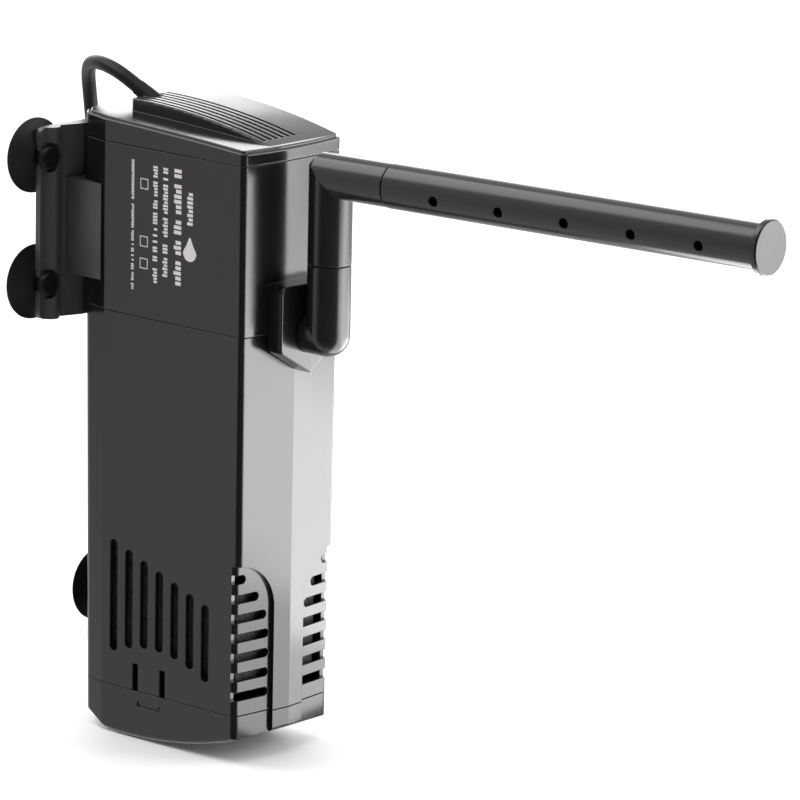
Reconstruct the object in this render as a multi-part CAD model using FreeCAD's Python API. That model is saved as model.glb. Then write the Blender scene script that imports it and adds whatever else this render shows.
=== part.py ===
import FreeCAD, Part
import math
import os

# Internal power filter for aquariums: a pump housing with a moulded lid, a slotted filter
# canister with a bottom cap, an outlet with two elbows and a spray bar, and a bracket with
# suction cups.  Millimetres.  +Z is up, -Y is the front with the outlet, and the glass that
# the suction cups hold on to is the plane y = 0.  z = 0 is the level of the filter's base.

V = FreeCAD.Vector
X_AXIS = V(1, 0, 0)
Y_AXIS = V(0, 1, 0)
Z_AXIS = V(0, 0, 1)

# ---- driving dimensions ------------------------------------------------------------------
LID_SEAM_Z = 272.0
PUMP_SEAM_Z = 195.3
CAP_SEAM_Z = 22.0
HALF_SEAM = 0.22

HALF_WIDTH = 31.8
SIDE_DRAFT = 1.0
FRONT_Y = -116.8
FRONT_BOW = 2.4
FRONT_RIDGE = 3.0
SIDE_END_Y = -32.6
BACK_STEPS = ((3.5, 6.0), (8.9, 1.45), (15.0, 0.0))
BACK_Y = -11.5
BACK_DRAFT = 2.8
FRONT_CORNER_R = 2.8
BACK_CORNER_R = 6.0
WALL = 2.2
SLIDE_GAP = 0.35

CAP_ARC_R = 213.0
CAP_ARC_Y = -47.0
CAP_ARC_SPAN = 80.0
CAP_EDGE_R = 2.0
CAP_FLOOR_T = 2.4
CAP_HEEL = ((-38.0, 0.4), (-8.0, 11.5))
MARK_Y = (-69.3, -55.1)
MARK_Z = (14.9, 17.2)
MARK_LINE = 1.1
MARK_DEPTH = 1.0

GRILLE_DEPTH = 2.0
GRILLE_HALF_GAP = 9.7
GRILLE_ARC_R = 21.2
GRILLE_ARC_Z = 70.0
CORNER_SLOTS = 7
CORNER_SLOT_TOP_Z = 85.0
CORNER_SLOT_PITCH = 9.0
CORNER_SLOT_H = 4.2
CORNER_SLOT_WRAP = 4.4
CORNER_SLOT_INSET = 1.2
CORNER_SLOT_ARC_IN = 14.0
CORNER_SLOT_ARC_COUNT = 3.0

SIDE_SLOTS = 7
SIDE_SLOT_W = 4.7
SIDE_SLOT_FIRST_Y = -40.0
SIDE_SLOT_PITCH = 9.45
SIDE_SLOT_TOP_Z = 90.3
SIDE_SLOT_DEEPEST = 2.6
SIDE_SLOT_TOP_STEP = 3.3
SIDE_SLOT_BOTTOM_Z = 42.8
SIDE_SLOT_BOTTOM_BEND = 0.7
LATCH_SLIT_Y = (-70.6, -53.8)
LATCH_SLIT_W = 3.4
LATCH_TOP_Z = 34.7

BOSS_HALF_W = 18.2
BOSS_FACE_Y = -129.4
BOSS_TOP_Z = 218.0
BOSS_SIDE_Z = 188.5
BOSS_TIP_Z = 177.3
BOSS_BACK_Y = -120.4
BOSS_CORNER_R = 3.0
BOSS_RIM_R = 0.8
OUTLET_Z = 196.2
PIPE_Y = -139.5
ELBOW_R = 9.8
ELBOW_SEAM_Z = 228.0
BAR_Z = 267.5
BAR_ANGLE = 4.75
BAR_R = 10.0
BAR_BORE_R = 8.2
BAR_START = 34.7
BAR_END = 226.7
BAR_HOLES = 5
BAR_HOLE_FIRST = 62.6
BAR_HOLE_PITCH = 34.4
BAR_HOLE_R = 2.35
BAR_HOLE_DROP = 10.0
END_CAP_R = 12.2
END_CAP_T = 3.4
FIT = 0.08

ROTOR_Y = -66.0
SHAFT_R = 1.5
WELL_R = 12.0
WELL_BORE_R = 9.8
ROTOR_R = 9.2
FLOOR_Z = 206.0
FLOOR_TOP_Z = 208.5
SPIGOT_Z = 184.0
CHAMBER_R = 17.5

PLATE_HALF_W = 47.0
PLATE_BACK_Y = -4.5
PLATE_T = 3.0
PLATE_BOTTOM_Z = 188.5
PLATE_TOP_Z = 276.0
ARM_BOTTOM_Z = 208.5
ARM_TOP_Z = 252.2
ARM_FRONT_Y = -30.6
ARM_PROUD = 0.3
CUP_X = 43.7
CUP_Z = (204.8, 262.5)
CUP_R = 17.0
CUP_NECK_R = 3.0
CUP_KNOB_R = 5.2
CUP_KNOB_LENGTH = 3.4
CANISTER_CUP_Z = 56.5
CANISTER_CUP_SEAT_Y = -15.4
CANISTER_KNOB_LENGTH = 2.0

CABLE_R = 3.3
CABLE_EXIT = V(0, -30.45, 287.1)
CABLE_DIR = V(0, 0.906, 0.423)
GLAND_LENGTH = 20.0
GLAND_INSIDE = 11.0

# lid
LID_FRONT_Z = 277.5
LID_MID = (-77.0, 280.1)
LID_BACK_Z = 282.6
PANEL_INSET = 1.4
PANEL_RISE = 1.1
HUMP_X = -13.5
HUMP_BACK_Y = -30.0
HUMP_FRONT_Z = 278.2
HUMP_MID = (-77.0, 285.8)
HUMP_BACK_Z = 288.8
HUMP_EDGE_R = 0.8
HUMP_END_R = 3.0
RIM_EDGE_R = 0.8
PANEL_EDGE_R = 0.6
RIB_GROOVES = 6
RIB_FIRST = 2.9
RIB_PITCH = 3.9
RIB_GROOVE_W = 1.9
RIB_GROOVE_DEPTH = 1.5
RIB_FRONT_Y = -110.0
LIP_T = 1.6
LIP_DEPTH = 6.0
LIP_GAP = 0.4
LID_HOLLOW = 2.6
GLAND_FIT = 0.1

# pump housing
RAIL_STEM_W = 5.0
RAIL_HEAD_W = 8.0
RAIL_HEAD_Y = -9.6
RAIL_BACK_Y = -7.8
RAIL_Z = (200.5, 268.0)
DUCT_R = 10.0
DUCT_BORE_R = 6.5
SOCKET_R = 8.2
SOCKET_DEPTH = 14.0
BOSS_RIDGE = 1.2
CHAMBER_WALL = 2.5
WELL_HEIGHT = 46.0
WELL_TOP_T = 2.5

# motor inside the pump housing
CORE_Z = (218.0, 240.0)
LEG_X = (8.0, 20.0)
LEG_Y = (-78.0, -24.0)
YOKE_Y = -34.0
COIL_Y = (-52.0, -35.0)
COIL_WRAP = 3.6
POTTING_TOP_Z = 262.0
SHAFT_Z = (184.5, 248.0)
UPPER_BUSH = (245.0, 4.4, 4.0)
ROTOR_Z = (212.0, 244.0)
IMPELLER_Z = (191.0, 211.5)
IMPELLER_R = 14.5
BLADES = 6
BLADE_T = 1.6
BLADE_INNER_X = 3.5
BLADE_INSET = 0.5
HUB_R = 5.0
DISC_RISE = 10.0
DISC_T = 1.6
COIL_CORNER_R = 2.0
CORE_FIT = 0.1
RESIN_FIT = 0.05
SHAFT_FIT = 0.05
COVER_DROP = 0.7
COVER_T = 2.4
COVER_BORE_R = 9.0
COVER_PLUG_FIT = 0.3
COVER_PLUG_T = 2.0
COVER_PLUG_H = 5.0
BUSH_R = 2.6
BUSH_SEAT_R = 4.0
SPOKES = 3
SPOKE_X = (3.2, 10.0)
SPOKE_HALF_W = 1.0
SPOKE_TURN = 30.0
GRIP_X = 1.2
GRIP_Y = (10.5, 18.5)
GRIP_DROP = 3.6

# filter canister, sponge and bottom cap
SPONGE_GAP = 1.5
SPONGE_Z = (30.0, 172.0)
RETAINER_Z = (173.0, 175.4)
RETAINER_FIT = 0.1
RETAINER_SLOTS = 9
RETAINER_SLOT_X = (3.0, 23.0)
RETAINER_SLOT_W = 5.0
RETAINER_SLOT_PITCH = 10.0
RETAINER_FIRST_SLOT = 14.0
POCKET_GAP = 1.5
POCKET_DEPTH = 3.0
CAP_BLOCK_Z = -3.0
RIM_FOOT_H = 3.0
RIM_SINK = 0.5
RIM_RISE = 5.0
RIM_T = 1.6
RIM_CLEAR = 2.0
LATCH_REACH = 8.0
TONGUE_GAP = 0.2
NOTCH_GAP = 1.6
CUP_HOLE_FIT = 0.2

# outlet elbows, spray bar and its end cap
BAR_DIR = V(math.sin(math.radians(BAR_ANGLE)), -math.cos(math.radians(BAR_ANGLE)), 0)
BAR_CENTRE = V(0, PIPE_Y, BAR_Z)
ELBOW_BORE_R = 6.5
SPIGOT_R = 7.8
SPIGOT_LENGTH = 9.0
BAR_SPIGOT = 14.0
BAR_GAP = 0.8
ELBOW_CORNER = 1.1
ELBOW_SEAM_GAP = 0.7
ELBOW_GAP = 0.4
RING_INSET = 7.0
RING_GROOVE_R = 0.9
RING_R = 0.88
RING_SQUEEZE = 0.03
END_CAP_GAP = 0.15
END_CAP_EDGE = 0.7
END_PLUG_T = 1.92
END_PLUG_LENGTH = 12.0
END_PLUG_SINK = 1.0

# bracket and suction cups
RIB_X = 39.6
RIB_R = 4.3
RIB_SINK = 0.9
ARM_INNER_X = 22.0
PLATE_CORNER_R = 3.0
PLATE_SWELL = ((34.0, 0.6), (24.0, 4.0))
RAIL_SLOT_GAP = 0.3
RAIL_STOP_GAP = 0.2
NECK_FIT = 0.1
WINDOW_GAP = 1.6
CUP_SEAT_GAP = 0.1
CUP_DISH = [
    (0, -5.0), (6.0, -5.0), (9.0, -4.0), (CUP_R - 1.5, -1.1), (CUP_R, -0.6), (CUP_R, 0),
    (CUP_R - 1.0, 0), (9.0, -2.6), (0, -3.0), (0, -5.0),
]
KNOB_EDGE_R = 1.2
NECK_FLAT = 9.0

# mains lead
GLAND_BASE_R = 4.2
GLAND_TIP_R = 3.6
COIL_FOOT_Z = 1.0
COIL_OUTER_R = 44.0
COIL_INNER_R = 30.4
COIL_LAYER_RISE = 5.9
COIL_CENTRE = V(124.0, 50.0, 0.0)
LAY_Z = COIL_FOOT_Z + CABLE_R
ROUTE = [
    (0.0, -22.3, 290.9),
    (0.0, -14.8, 294.4),
    (1.3, -6.0, 296.9),
    (3.9, 2.8, 297.7),
    (8.1, 11.8, 297.0),
    (14.6, 22.5, 294.4),
    (23.4, 32.4, 288.0),
    (32.0, 39.6, 276.7),
    (40.0, 45.3, 259.8),
    (46.6, 48.4, 234.8),
    (52.0, 50.4, 200.2),
    (57.2, 51.6, 158.0),
    (61.8, 53.0, 115.0),
    (65.6, 56.4, 78.0),
    (67.6, 60.7, 44.8),
    (72.5, 70.6, 21.9),
    (83.1, 80.7, 9.8),
    (97.1, 88.6, LAY_Z),
    (113.4, 92.7, LAY_Z),
]
PLUG_REAR = V(89.5, 13.0, 6.9)
END_ROUTE = [
    (117.0, 9.9, 9.7),
    (111.5, 10.4, 9.2),
    (106.0, 11.2, 8.4),
    (100.5, 12.1, 7.6),
    (95.0, 12.8, 7.05),
    (89.5, 13.0, 6.9),
]
TIE_T = 0.9
TIE_W = 4.8
PLUG_LENGTH = 36.0
PLUG_W = 26.0
PLUG_T = 13.6
PIN_R = 2.0
PIN_LENGTH = 19.0
PIN_HALF_PITCH = 9.3
PIN_TIP_R = 1.0
PLUG_BROAD = 14.0
PLUG_NECK = 9.0
PLUG_NECK_HALF_W = 6.5
PLUG_EDGE_R = 2.0
SLEEVE_R = (4.4, 5.6)
SLEEVE_LENGTH = 11.0
TIE_LOCK_X = (2.0, 8.0)
TIE_LOCK_Z = (0.5, 4.0)
TIE_LOCK_W = 6.8
BEND_SETBACK = 0.45


# ---- small helpers -----------------------------------------------------------------------
def save(name, shape):
    """Write one node after checking that it is made of closed solids."""
    if not shape.Solids or not shape.isValid():
        raise ValueError(name + " is not a valid solid")
    shape.exportStep("parts/" + name + ".step")
    print(name, len(shape.Solids), "solid(s)", round(shape.Volume / 1000.0, 2), "cm3")


def box(x0, x1, y0, y1, z0, z1):
    return Part.makeBox(x1 - x0, y1 - y0, z1 - z0, V(x0, y0, z0))


def rod(radius, length, base, axis=Z_AXIS):
    return Part.makeCylinder(radius, length, base, axis)


def pipe(radius, bore, length, base, axis=Z_AXIS):
    return rod(radius, length, base, axis).cut(rod(bore, length, base, axis))


def join(shapes):
    """Fuse a list of shapes into one, without the seams between coplanar faces."""
    whole = shapes[0]
    if len(shapes) > 1:
        whole = whole.multiFuse(shapes[1:])
    return whole.removeSplitter()


def prism_yz(points, x0, x1):
    """Extrude a polygon of (y, z) points along X."""
    face = Part.Face(Part.makePolygon([V(x0, y, z) for y, z in points + points[:1]]))
    return face.extrude(V(x1 - x0, 0, 0))


def prism_xz(points, y0, y1):
    """Extrude a polygon of (x, z) points along Y."""
    face = Part.Face(Part.makePolygon([V(x, y0, z) for x, z in points + points[:1]]))
    return face.extrude(V(0, y1 - y0, 0))


def prism_xy(points, z0, z1):
    """Extrude a polygon of (x, y) points along Z."""
    face = Part.Face(Part.makePolygon([V(x, y, z0) for x, y in points + points[:1]]))
    return face.extrude(V(0, 0, z1 - z0))


def under_arc(low, mid, high, bottom_z, x0, x1):
    """The solid below an arc through three (y, z) points, down to bottom_z."""
    a, b, c = (V(x0, y, z) for y, z in (low, mid, high))
    foot_c = V(x0, high[0], bottom_z)
    foot_a = V(x0, low[0], bottom_z)
    edges = [Part.Arc(a, b, c).toShape()]
    for start, end in ((c, foot_c), (foot_c, foot_a), (foot_a, a)):
        edges.append(Part.LineSegment(start, end).toShape())
    return Part.Face(Part.Wire(edges)).extrude(V(x1 - x0, 0, 0))


def round_upright_edges(solid, radius, keep):
    """Round the upright edges whose middle point passes the test in keep."""
    chosen = []
    for edge in solid.Edges:
        start, end = edge.Vertexes[0].Point, edge.Vertexes[-1].Point
        upright = abs(end.z - start.z) > 0.95 * (end - start).Length
        if upright and (end - start).Length > 1.0 and keep((start + end) * 0.5):
            chosen.append(edge)
    return solid.makeFillet(radius, chosen)


def outline(z, inset, front_inset, front):
    """The housing's plan outline at height z, moved inwards by the insets."""
    down = (LID_SEAM_Z - z) / (LID_SEAM_Z - CAP_SEAM_Z)
    half = HALF_WIDTH - SIDE_DRAFT * down - inset
    front_y = FRONT_Y + front_inset
    back_y = BACK_Y - BACK_DRAFT * down - inset
    left, right = V(-half, front_y, z), V(half, front_y, z)
    if front == "bow":
        edges = [Part.Arc(left, V(0, front_y - FRONT_BOW, z), right).toShape()]
    else:
        middle = V(0, front_y - FRONT_RIDGE, z)
        edges = [Part.LineSegment(left, middle).toShape(), Part.LineSegment(middle, right).toShape()]
    right_side = [V(half - inwards, back_y - forwards, z) for inwards, forwards in BACK_STEPS]
    left_side = [V(-point.x, point.y, z) for point in reversed(right_side)]
    corners = [right, V(half, SIDE_END_Y, z)] + right_side + left_side + [V(-half, SIDE_END_Y, z), left]
    for start, end in zip(corners, corners[1:]):
        edges.append(Part.LineSegment(start, end).toShape())
    return Part.Wire(edges)


def housing_block(z0, z1, inset=0.0, front_inset=None, front="bow", rounded=True):
    """A drafted block with the housing's outline between two heights."""
    if front_inset is None:
        front_inset = inset
    ends = [outline(z, inset, front_inset, front) for z in (z0, z1)]
    block = Part.makeLoft(ends, True, True)
    if rounded:
        front_r = max(FRONT_CORNER_R - inset, 0.8)
        back_r = max(BACK_CORNER_R - inset, 0.8)
        edge_x = HALF_WIDTH - inset - 2.0
        block = round_upright_edges(block, front_r, lambda p: p.y < FRONT_Y + 20 and abs(p.x) > edge_x)
        block = round_upright_edges(block, back_r, lambda p: p.y > SIDE_END_Y + 6.0)
    return block


# ---- lid ----------------------------------------------------------------------------------
def lid_profile(rise, x0, x1):
    low = (FRONT_Y - 5.0, LID_FRONT_Z + rise - 0.3)
    mid = (LID_MID[0], LID_MID[1] + rise)
    high = (BACK_Y + 3.0, LID_BACK_Z + rise + 0.1)
    return under_arc(low, mid, high, LID_SEAM_Z + HALF_SEAM, x0, x1)


def hump_profile(drop, x0, x1, front_y=FRONT_Y - 1.0, back_y=HUMP_BACK_Y):
    low = (FRONT_Y - 1.0, HUMP_FRONT_Z - drop)
    mid = (HUMP_MID[0], HUMP_MID[1] - drop)
    high = (HUMP_BACK_Y, HUMP_BACK_Z - drop)
    whole = under_arc(low, mid, high, LID_SEAM_Z + HALF_SEAM, x0, x1)
    return whole.common(box(x0, x1, front_y, back_y, LID_SEAM_Z, HUMP_BACK_Z + 5.0))


def make_lid():
    reach = HALF_WIDTH + 5.0
    outer = housing_block(LID_SEAM_Z + HALF_SEAM, HUMP_BACK_Z + 6.0)
    rim = soften_top(outer.common(lid_profile(0.0, -reach, reach)), RIM_EDGE_R)
    inner = housing_block(LID_SEAM_Z + HALF_SEAM, HUMP_BACK_Z + 6.0, PANEL_INSET)
    panel = soften_top(inner.common(lid_profile(PANEL_RISE, -reach, reach)), PANEL_EDGE_R)
    hump = inner.common(hump_profile(0.0, HUMP_X, reach))
    hump = soften_hump(hump)
    lid = join([rim, panel, hump])
    for count in range(RIB_GROOVES):
        x0 = HUMP_X + RIB_FIRST + count * RIB_PITCH - RIB_GROOVE_W / 2
        above = box(x0, x0 + RIB_GROOVE_W, RIB_FRONT_Y, HUMP_BACK_Y + 1.0, LID_SEAM_Z, HUMP_BACK_Z + 5.0)
        kept = hump_profile(RIB_GROOVE_DEPTH, x0, x0 + RIB_GROOVE_W, RIB_FRONT_Y, HUMP_BACK_Y)
        kept = kept.fuse(box(x0, x0 + RIB_GROOVE_W, HUMP_BACK_Y, HUMP_BACK_Y + 2.0, LID_SEAM_Z, LID_BACK_Z))
        lid = lid.cut(above.cut(kept))
    hollow = housing_block(LID_SEAM_Z, LID_SEAM_Z + LID_HOLLOW, WALL + LIP_T + 1.0, rounded=False)
    lip = housing_block(LID_SEAM_Z - LIP_DEPTH, LID_SEAM_Z + 1.0, WALL + LIP_GAP)
    inside_gap = WALL + LIP_GAP + LIP_T
    inside = housing_block(LID_SEAM_Z - LIP_DEPTH - 1.0, LID_SEAM_Z + 2.0, inside_gap, rounded=False)
    lip = lip.cut(inside)
    lid = join([lid.cut(hollow), lip])
    base = CABLE_EXIT - CABLE_DIR * (GLAND_INSIDE + 0.2)
    return lid.cut(rod(GLAND_BASE_R + GLAND_FIT, 1.5 * GLAND_LENGTH, base, CABLE_DIR))


def soften_top(block, radius):
    """Round the edges all round a block's top face."""
    chosen = [edge for edge in block.Edges if edge.BoundBox.ZMin > LID_FRONT_Z - 2.0]
    return block.makeFillet(radius, chosen)


def soften_hump(hump):
    """Round the hump's rear corner and then its long near edge with its rear end."""
    upright = []
    for edge in hump.Edges:
        box_of = edge.BoundBox
        at_corner = box_of.XMax < HUMP_X + 0.01 and box_of.YMin > HUMP_BACK_Y - 0.01
        if at_corner and box_of.ZLength > 5:
            upright.append(edge)
    hump = hump.makeFillet(HUMP_END_R, upright)
    chosen = []
    for edge in hump.Edges:
        box_of = edge.BoundBox
        near_side = box_of.XMax < HUMP_X + 0.01 and box_of.YLength > 50 and box_of.ZMax > LID_BACK_Z
        near_end = box_of.YMin > HUMP_BACK_Y - HUMP_END_R - 0.01 and box_of.ZMin > HUMP_BACK_Z - 0.5
        if near_side or (near_end and box_of.ZLength < 1.0):
            chosen.append(edge)
    return hump.makeFillet(HUMP_EDGE_R, chosen)


# ---- pump housing -------------------------------------------------------------------------
def boss_outline(half, top, side, tip, y):
    """The outlet boss's shield shape: square above, with a pointed lower edge."""
    points = [(-half, top), (half, top), (half, side), (0, tip), (-half, side)]
    return Part.makePolygon([V(x, y, z) for x, z in points + points[:1]])


def make_boss():
    """The outlet boss, with a slightly ridged face and rounded lower corners."""
    shield = Part.Face(boss_outline(BOSS_HALF_W, BOSS_TOP_Z, BOSS_SIDE_Z, BOSS_TIP_Z, FRONT_Y + 2.0))
    block = shield.extrude(V(0, BOSS_FACE_Y - FRONT_Y - 2.0, 0))
    ridge_y = BOSS_FACE_Y + BOSS_RIDGE
    facets = [(-BOSS_HALF_W - 1, FRONT_Y + 3), (-BOSS_HALF_W - 1, ridge_y), (0, BOSS_FACE_Y)]
    facets += [(BOSS_HALF_W + 1, ridge_y), (BOSS_HALF_W + 1, FRONT_Y + 3)]
    block = block.common(prism_xy(facets, BOSS_TIP_Z - 1, BOSS_TOP_Z + 1))
    runs_back = []
    for edge in block.Edges:
        if edge.BoundBox.YLength > 8 and abs(edge.BoundBox.Center.x) > 1:
            runs_back.append(edge)
    block = block.makeFillet(BOSS_CORNER_R, runs_back)
    rim = []
    for edge in block.Edges:
        on_ridge = abs(edge.BoundBox.Center.x) < 0.01 and edge.BoundBox.XLength < 0.01
        if edge.BoundBox.YMax < ridge_y + 0.05 and not on_ridge:
            rim.append(edge)
    block = block.makeFillet(BOSS_RIM_R, rim)
    clear_below = box(-30, 30, BOSS_BACK_Y, FRONT_Y + 5, BOSS_TIP_Z - 5, PUMP_SEAM_Z + HALF_SEAM)
    return block.cut(clear_below)


def make_pump_housing():
    shell = housing_block(PUMP_SEAM_Z + HALF_SEAM, LID_SEAM_Z - HALF_SEAM)
    shell = shell.cut(housing_block(FLOOR_TOP_Z, LID_SEAM_Z + 1.0, WALL))
    side_gap = WALL + SLIDE_GAP
    front_gap = WALL + GRILLE_DEPTH + SLIDE_GAP
    spigot = housing_block(SPIGOT_Z, FLOOR_Z, side_gap, front_gap, "ridge")
    below = housing_block(SPIGOT_Z - 1, FLOOR_Z, side_gap + 2.0, front_gap + 2.0, "ridge", False)
    axis_point = V(0, ROTOR_Y, 0)
    chamber = rod(CHAMBER_R + CHAMBER_WALL, FLOOR_Z - SPIGOT_Z - 2.0, axis_point + V(0, 0, SPIGOT_Z + 2.0))
    well = rod(WELL_R, WELL_HEIGHT, axis_point + V(0, 0, FLOOR_Z))
    duct_start = V(0, ROTOR_Y - CHAMBER_R + 2.0, OUTLET_Z)
    duct_length = duct_start.y - BOSS_FACE_Y
    duct = rod(DUCT_R, duct_length - 3.0, duct_start, V(0, -1, 0))
    body = join([shell, spigot]).cut(below)
    body = join([body, chamber, well, duct, make_boss(), make_rail()])
    body = body.cut(rod(CHAMBER_R, FLOOR_Z - SPIGOT_Z, axis_point + V(0, 0, SPIGOT_Z - 0.5)))
    body = body.cut(rod(WELL_BORE_R, WELL_HEIGHT - WELL_TOP_T + 1.0, axis_point + V(0, 0, FLOOR_Z - 1.0)))
    body = body.cut(rod(DUCT_BORE_R, duct_length + 5.0, duct_start + V(0, 4, 0), V(0, -1, 0)))
    socket_end = V(0, BOSS_FACE_Y + SOCKET_DEPTH, OUTLET_Z)
    return body.cut(rod(SOCKET_R, SOCKET_DEPTH + 1.0, socket_end, V(0, -1, 0)))


def make_rail():
    """The T-shaped rail on the back that the bracket slides on."""
    z0, z1 = RAIL_Z
    stem = box(-RAIL_STEM_W, RAIL_STEM_W, BACK_Y - 2.0, RAIL_HEAD_Y, z0, z1)
    head = box(-RAIL_HEAD_W, RAIL_HEAD_W, RAIL_HEAD_Y, RAIL_BACK_Y, z0, z1)
    return stem.fuse(head)


# ---- motor inside the pump housing ---------------------------------------------------------
def make_stator_core():
    z0, z1 = CORE_Z
    shapes = [box(-LEG_X[1], LEG_X[1], YOKE_Y, LEG_Y[1], z0, z1)]
    for side in (-1, 1):
        x0, x1 = sorted((side * LEG_X[0], side * LEG_X[1]))
        shapes.append(box(x0, x1, LEG_Y[0], LEG_Y[1], z0, z1))
    return join(shapes).cut(rod(WELL_R + CORE_FIT, z1 - z0, V(0, ROTOR_Y, z0)))


def make_coil(side):
    """One wound coil round a leg of the core."""
    x0, x1 = sorted((side * LEG_X[0], side * LEG_X[1]))
    z0, z1 = CORE_Z
    wrap = COIL_WRAP
    outer = box(x0 - wrap, x1 + wrap, COIL_Y[0], COIL_Y[1], z0 - wrap, z1 + wrap)
    outer = outer.makeFillet(COIL_CORNER_R, [e for e in outer.Edges if e.BoundBox.YLength > 5])
    return outer.cut(box(x0, x1, COIL_Y[0] - 1, COIL_Y[1] + 1, z0, z1))


def make_potting(core, coils):
    block = housing_block(FLOOR_TOP_Z, POTTING_TOP_Z, WALL + RESIN_FIT)
    block = block.cut(rod(WELL_R + RESIN_FIT, WELL_HEIGHT - 2.0, V(0, ROTOR_Y, FLOOR_TOP_Z - 0.5)))
    for part in [core] + coils:
        block = block.cut(part)
    return block


def make_impeller():
    z0, z1 = IMPELLER_Z
    centre = V(0, ROTOR_Y, 0)
    hub = rod(HUB_R, z1 - z0, centre + V(0, 0, z0))
    disc = rod(IMPELLER_R, DISC_T, centre + V(0, 0, z0 + DISC_RISE))
    shapes = [hub, disc]
    for count in range(BLADES):
        tip_x = IMPELLER_R - BLADE_INSET
        blade = box(BLADE_INNER_X, tip_x, -BLADE_T / 2, BLADE_T / 2, z0, z0 + DISC_RISE + DISC_T / 2)
        blade.rotate(V(0, 0, 0), Z_AXIS, 360.0 / BLADES * count)
        blade.translate(centre)
        shapes.append(blade)
    whole = join(shapes)
    return whole.cut(rod(SHAFT_R + SHAFT_FIT, z1 - z0 + 2, centre + V(0, 0, z0 - 1)))


def make_rotor_magnet():
    z0, z1 = ROTOR_Z
    return pipe(ROTOR_R, SHAFT_R + SHAFT_FIT, z1 - z0, V(0, ROTOR_Y, z0))


def make_inlet_cover():
    """The round cover under the impeller, with its inlet ring, spokes and grip bar."""
    centre = V(0, ROTOR_Y, 0)
    foot_z = SPIGOT_Z - COVER_DROP
    foot = centre + V(0, 0, foot_z)
    flange = pipe(CHAMBER_R + CHAMBER_WALL, COVER_BORE_R, COVER_T, foot)
    plug_r = CHAMBER_R - COVER_PLUG_FIT
    plug = pipe(plug_r, plug_r - COVER_PLUG_T, COVER_PLUG_H, foot)
    seat = pipe(BUSH_SEAT_R, BUSH_R, COVER_T, foot)
    shapes = [flange, plug, seat]
    for count in range(SPOKES):
        spoke = box(SPOKE_X[0], SPOKE_X[1], -SPOKE_HALF_W, SPOKE_HALF_W, foot_z, foot_z + COVER_T)
        spoke.rotate(V(0, 0, 0), Z_AXIS, 360.0 / SPOKES * count + SPOKE_TURN)
        spoke.translate(centre)
        shapes.append(spoke)
    for side in (-1, 1):
        grip = box(-GRIP_X, GRIP_X, GRIP_Y[0], GRIP_Y[1], SPIGOT_Z - GRIP_DROP, SPIGOT_Z)
        grip.rotate(V(0, 0, 0), Z_AXIS, 90.0 * side)
        grip.translate(centre)
        shapes.append(grip)
    return join(shapes)


# ---- filter canister, sponge and bottom cap ------------------------------------------------
def front_skin(block):
    """The skin of a block, as deep as the grille's recess, on its front only."""
    back = block.copy()
    back.translate(V(0, GRILLE_DEPTH, 0))
    return block.cut(back)


def grille_region(side):
    """The area of one corner grille, seen from the front: straight below, a quarter round above."""
    inner, outer = sorted((side * GRILLE_HALF_GAP, side * (HALF_WIDTH + 5)))
    low = box(inner, outer, FRONT_Y - 10, FRONT_Y + 8, -10, GRILLE_ARC_Z)
    centre = V(side * (GRILLE_HALF_GAP + GRILLE_ARC_R), FRONT_Y - 10, GRILLE_ARC_Z)
    top = rod(GRILLE_ARC_R, 18.0, centre, Y_AXIS)
    top = top.common(box(inner, outer, FRONT_Y - 10, FRONT_Y + 8, GRILLE_ARC_Z - 1, GRILLE_ARC_Z + 30))
    return low.fuse(top)


def corner_slot(side, count):
    """One horizontal slot with a rounded inner end that runs out round the corner."""
    z = CORNER_SLOT_TOP_Z - CORNER_SLOT_PITCH * count
    climb = max(0.0, 1.0 - count / CORNER_SLOT_ARC_COUNT)
    end_x = GRILLE_HALF_GAP + CORNER_SLOT_INSET + CORNER_SLOT_ARC_IN * climb * climb + CORNER_SLOT_H / 2
    x0, x1 = sorted((side * end_x, side * (HALF_WIDTH + 3)))
    half = CORNER_SLOT_H / 2
    slot = box(x0, x1, FRONT_Y - 5, FRONT_Y + CORNER_SLOT_WRAP, z - half, z + half)
    end = rod(half, CORNER_SLOT_WRAP + 5, V(side * end_x, FRONT_Y - 5, z), Y_AXIS)
    return slot.fuse(end)


def side_slot(count):
    """One upright slot through both side walls."""
    y = SIDE_SLOT_FIRST_Y - SIDE_SLOT_PITCH * count
    top = SIDE_SLOT_TOP_Z - SIDE_SLOT_TOP_STEP * count - SIDE_SLOT_W / 2
    bottom = SIDE_SLOT_BOTTOM_Z - SIDE_SLOT_BOTTOM_BEND * (count - SIDE_SLOT_DEEPEST) ** 2 + SIDE_SLOT_W / 2
    half = SIDE_SLOT_W / 2
    reach = HALF_WIDTH + 4
    slot = box(-reach, reach, y - half, y + half, bottom, top)
    ends = [rod(half, 2 * reach, V(-reach, y, z), X_AXIS) for z in (bottom, top)]
    return slot.multiFuse(ends)


def latch_window(side):
    """The opening in one side wall that the latch tongue and its two slits take up."""
    y0 = LATCH_SLIT_Y[0] - LATCH_SLIT_W / 2
    y1 = LATCH_SLIT_Y[1] + LATCH_SLIT_W / 2
    x0, x1 = sorted((side * (HALF_WIDTH - LATCH_REACH), side * (HALF_WIDTH + 4)))
    return box(x0, x1, y0, y1, CAP_SEAM_Z - 2, LATCH_TOP_Z)


def canister_block():
    return housing_block(CAP_SEAM_Z + HALF_SEAM, PUMP_SEAM_Z - HALF_SEAM, front="ridge")


def canister_wall():
    """The canister's walls with the grille recesses, before slots are cut."""
    block = canister_block()
    skin = front_skin(block)
    front_gap = WALL + GRILLE_DEPTH
    hollow = housing_block(CAP_SEAM_Z - 1, PUMP_SEAM_Z + 1, WALL, front_gap, "ridge")
    wall = block.cut(hollow)
    for side in (-1, 1):
        wall = wall.cut(skin.common(grille_region(side)))
    return wall


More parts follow.
